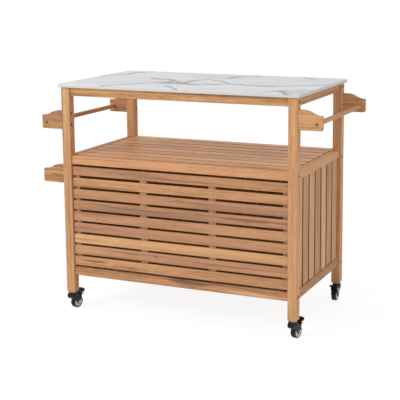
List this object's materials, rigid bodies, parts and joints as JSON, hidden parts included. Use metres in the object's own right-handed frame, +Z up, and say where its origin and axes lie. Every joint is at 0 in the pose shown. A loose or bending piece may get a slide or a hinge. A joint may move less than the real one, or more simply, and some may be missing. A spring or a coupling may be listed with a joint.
{
  "type": "outdoor bar cart",
  "caption": "Slatted wooden outdoor bar cart with a marble-look top, open shelf, cabinet with doors at the back, side towel bars, a small side rack and braked swivel casters.",
  "frame": {"origin": "on the floor, under the middle of the tabletop", "axes": "+Z up, +X to the cart's right as seen from its slatted front, front at -Y"},
  "size_m": [1.164, 0.58, 0.914],
  "materials": {
    "slab": "satin, white with thin grey veins",
    "frame_wood": "oiled",
    "slat_wood": "oiled",
    "bracket_wood": "oiled",
    "hinge": "satin",
    "bolt": "dull",
    "stem": "zinc plated",
    "fork": "black satin",
    "pedal": "black",
    "wheel": "matt"
  },
  "bodies": {
    "frame": {"bottom_rail_back": "frame_wood", "bottom_rail_front": "frame_wood", "bottom_rail_left": "frame_wood", "bottom_rail_right": "frame_wood", "bracket_bolts": "bolt", "caster_stems": "stem", "door_stop": "frame_wood", "floor_bearers": "frame_wood", "floor_slats": "slat_wood", "frame_bolts": "bolt", "frame_hinges": "hinge", "front_battens": "frame_wood", "front_slats": "slat_wood", "post_back_left": "frame_wood", "post_back_right": "frame_wood", "post_front_left": "frame_wood", "post_front_right": "frame_wood", "rack_ends": "bracket_wood", "rack_floor": "slat_wood", "rack_rail": "bracket_wood", "shelf_bearers": "frame_wood", "shelf_rail_back": "frame_wood", "shelf_rail_front": "frame_wood", "shelf_rail_left": "frame_wood", "shelf_rail_right": "frame_wood", "shelf_slats": "slat_wood", "side_battens_left": "frame_wood", "side_battens_right": "frame_wood", "side_slats_left": "slat_wood", "side_slats_right": "slat_wood", "tabletop": "slab", "top_rail_back": "frame_wood", "top_rail_front": "frame_wood", "top_rail_left": "frame_wood", "top_rail_right": "frame_wood", "towel_bar_left": "bracket_wood", "towel_bar_right": "bracket_wood", "towel_brackets_left": "bracket_wood", "towel_brackets_right": "bracket_wood"},
    "caster_front_left": {"caster_fork_front_left": "fork"},
    "wheel_front_left": {"caster_wheel_front_left": "wheel"},
    "pedal_front_left": {"caster_pedal_front_left": "pedal"},
    "caster_front_right": {"caster_fork_front_right": "fork"},
    "wheel_front_right": {"caster_wheel_front_right": "wheel"},
    "pedal_front_right": {"caster_pedal_front_right": "pedal"},
    "caster_back_left": {"caster_fork_back_left": "fork"},
    "wheel_back_left": {"caster_wheel_back_left": "wheel"},
    "pedal_back_left": {"caster_pedal_back_left": "pedal"},
    "caster_back_right": {"caster_fork_back_right": "fork"},
    "wheel_back_right": {"caster_wheel_back_right": "wheel"},
    "pedal_back_right": {"caster_pedal_back_right": "pedal"},
    "door_left": {"door_slats_left": "slat_wood", "door_battens_left": "frame_wood", "door_knob_left": "bracket_wood", "door_hinge_leaves_left": "hinge"},
    "door_right": {"door_slats_right": "slat_wood", "door_battens_right": "frame_wood", "door_knob_right": "bracket_wood", "door_hinge_leaves_right": "hinge"}
  },
  "joints": [
    {"name": "swivel_front_left", "type": "hinge", "parent": "frame", "child": "caster_front_left", "pos_m": [-0.472, -0.262, 0.06], "axis": [0, 0, 1], "continuous": true},
    {"name": "roll_front_left", "type": "hinge", "parent": "caster_front_left", "child": "wheel_front_left", "pos_m": [-0.46784, -0.24244, 0.025], "axis": [-0.9781, 0.2079, 0], "continuous": true},
    {"name": "brake_front_left", "type": "hinge", "parent": "caster_front_left", "child": "pedal_front_left", "pos_m": [-0.46505, -0.22931, 0.05515], "axis": [0.9781, -0.2079, 0], "range_deg": [0, 18]},
    {"name": "swivel_front_right", "type": "hinge", "parent": "frame", "child": "caster_front_right", "pos_m": [0.472, -0.262, 0.06], "axis": [0, 0, 1], "continuous": true},
    {"name": "roll_front_right", "type": "hinge", "parent": "caster_front_right", "child": "wheel_front_right", "pos_m": [0.47616, -0.24244, 0.025], "axis": [-0.9781, 0.2079, 0], "continuous": true},
    {"name": "brake_front_right", "type": "hinge", "parent": "caster_front_right", "child": "pedal_front_right", "pos_m": [0.47895, -0.22931, 0.05515], "axis": [0.9781, -0.2079, 0], "range_deg": [0, 18]},
    {"name": "swivel_back_left", "type": "hinge", "parent": "frame", "child": "caster_back_left", "pos_m": [-0.472, 0.262, 0.06], "axis": [0, 0, 1], "continuous": true},
    {"name": "roll_back_left", "type": "hinge", "parent": "caster_back_left", "child": "wheel_back_left", "pos_m": [-0.47374, 0.24208, 0.025], "axis": [0.9962, -0.0872, 0], "continuous": true},
    {"name": "brake_back_left", "type": "hinge", "parent": "caster_back_left", "child": "pedal_back_left", "pos_m": [-0.47491, 0.2287, 0.05515], "axis": [-0.9962, 0.0872, 0], "range_deg": [0, 18]},
    {"name": "swivel_back_right", "type": "hinge", "parent": "frame", "child": "caster_back_right", "pos_m": [0.472, 0.262, 0.06], "axis": [0, 0, 1], "continuous": true},
    {"name": "roll_back_right", "type": "hinge", "parent": "caster_back_right", "child": "wheel_back_right", "pos_m": [0.4727, 0.24201, 0.025], "axis": [0.9994, 0.0349, 0], "continuous": true},
    {"name": "brake_back_right", "type": "hinge", "parent": "caster_back_right", "child": "pedal_back_right", "pos_m": [0.47317, 0.2286, 0.05515], "axis": [-0.9994, -0.0349, 0], "range_deg": [0, 18]},
    {"name": "hinge_door_left", "type": "hinge", "parent": "frame", "child": "door_left", "pos_m": [-0.453, 0.2841, 0.388], "axis": [0, 0, 1], "range_deg": [0, 165]},
    {"name": "hinge_door_right", "type": "hinge", "parent": "frame", "child": "door_right", "pos_m": [0.453, 0.2841, 0.388], "axis": [0, 0, -1], "range_deg": [0, 165]}
  ]
}
